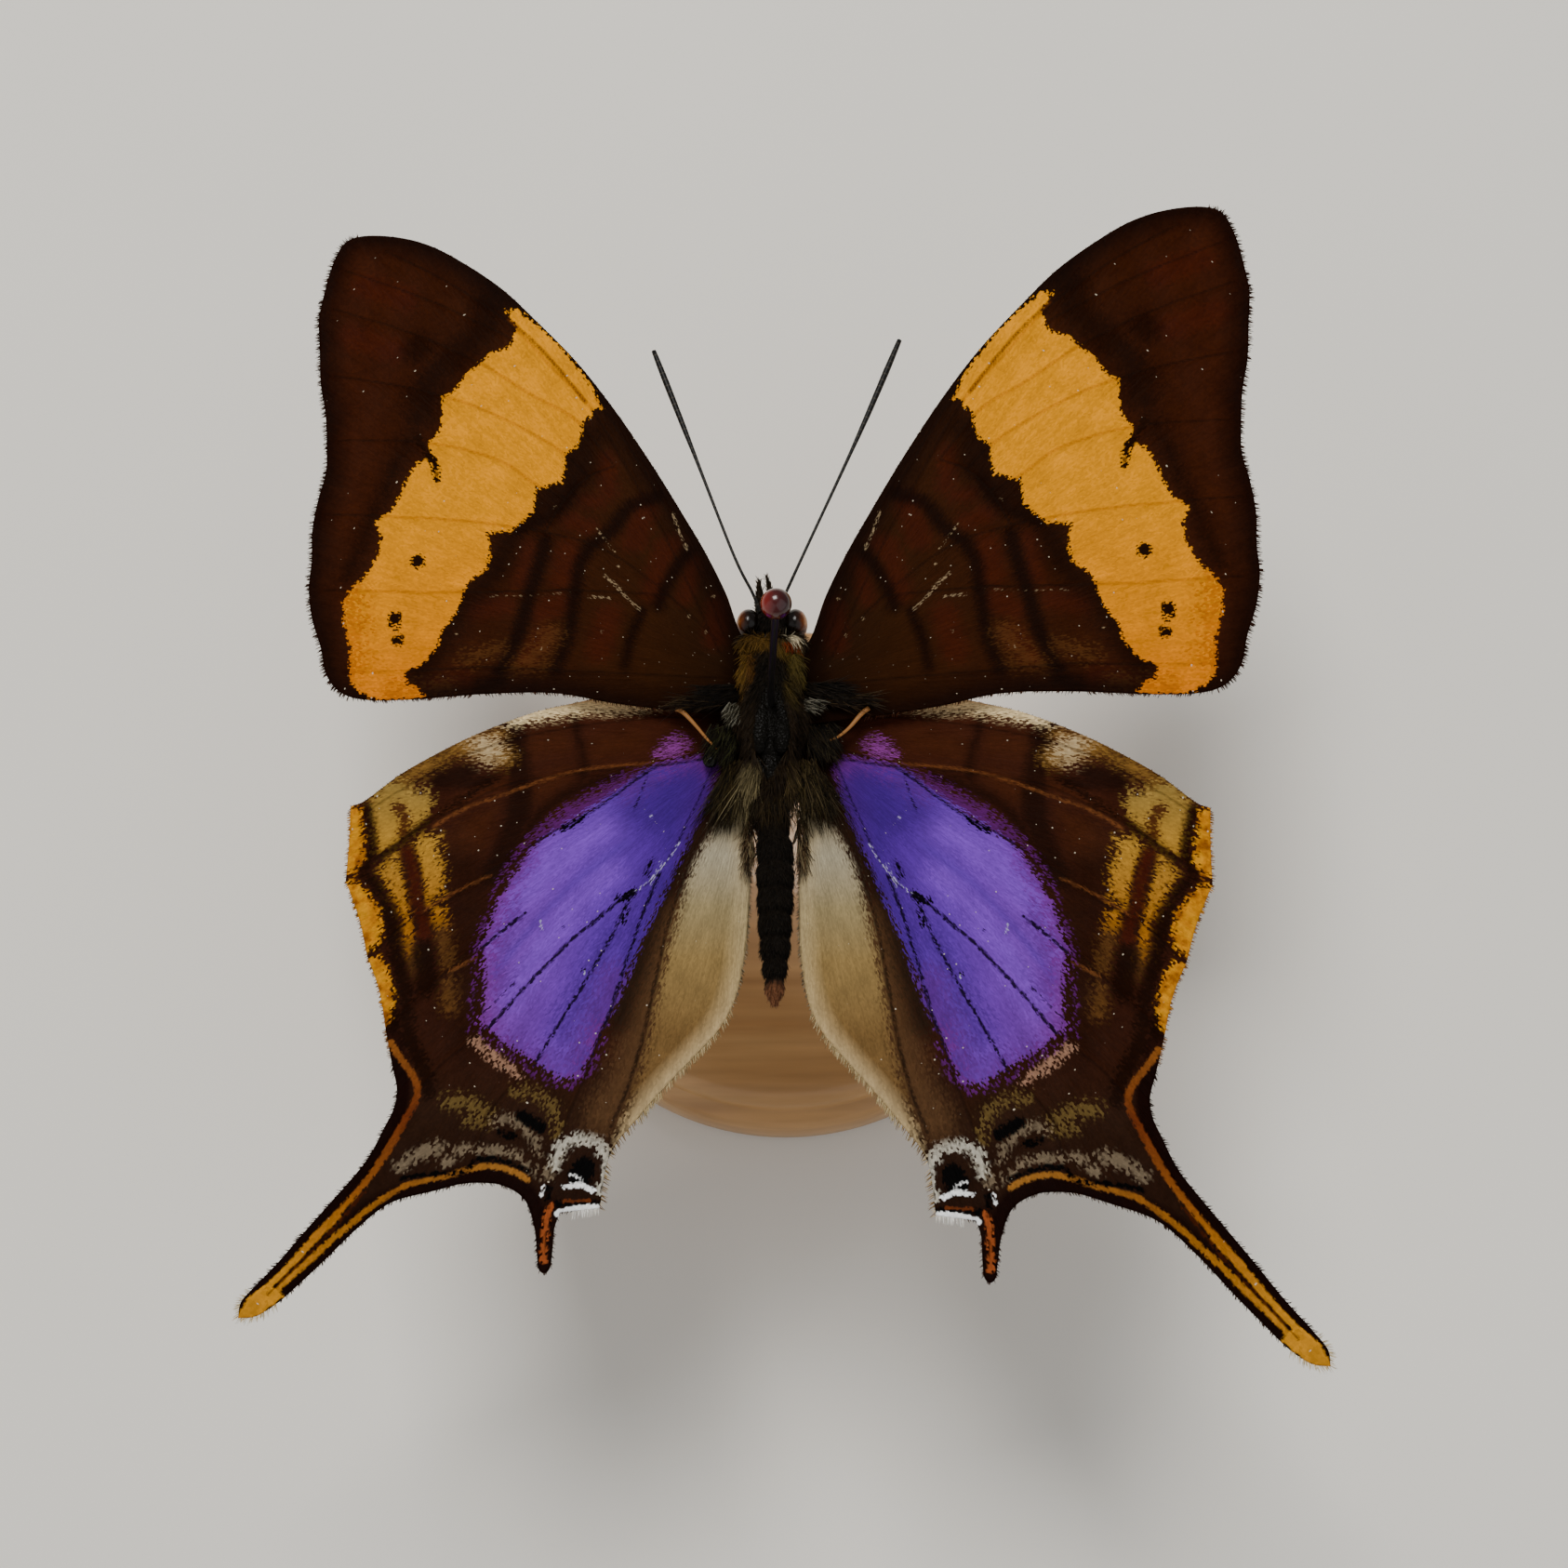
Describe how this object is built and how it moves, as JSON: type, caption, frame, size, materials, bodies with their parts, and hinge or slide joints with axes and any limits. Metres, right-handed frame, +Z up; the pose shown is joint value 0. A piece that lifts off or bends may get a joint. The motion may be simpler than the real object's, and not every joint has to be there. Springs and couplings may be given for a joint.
{
  "type": "corinna daggerwing butterfly model",
  "caption": "Life-size butterfly with spread wings and tailed hindwings, set on an insect pin that stands in a small round base.",
  "frame": {"origin": "centre of the underside of the round base", "axes": "+Z up along the pin, -Y towards the head, +X towards the butterfly's own left wings"},
  "size_m": [0.0462, 0.0547, 0.0401],
  "materials": {
    "wood": "satin varnished maple",
    "pin_steel": "black enamel",
    "pin_glass": "polished dark red",
    "body": "matte, scaled and hairy",
    "eye": "glossy, finely faceted",
    "cuticle": "satin cuticle",
    "forewing": "matte wing scales",
    "hindwing": "matte wing scales, violet sheen"
  },
  "bodies": {
    "root": {"stand_base": "wood", "pin_shaft": "pin_steel", "pin_head": "pin_glass", "thorax": "body", "abdomen": "body", "head": "body", "palp_l": "body", "palp_r": "body", "eye_l": "eye", "eye_r": "eye", "proboscis": "cuticle", "antenna_l": "cuticle", "antenna_r": "cuticle", "foreleg_l": "cuticle", "foreleg_r": "cuticle", "midleg_l": "cuticle", "midleg_r": "cuticle", "hindleg_l": "cuticle", "hindleg_r": "cuticle", "forewing_l": "forewing", "forewing_r": "forewing", "hindwing_l": "hindwing", "hindwing_r": "hindwing"}
  },
  "joints": []
}
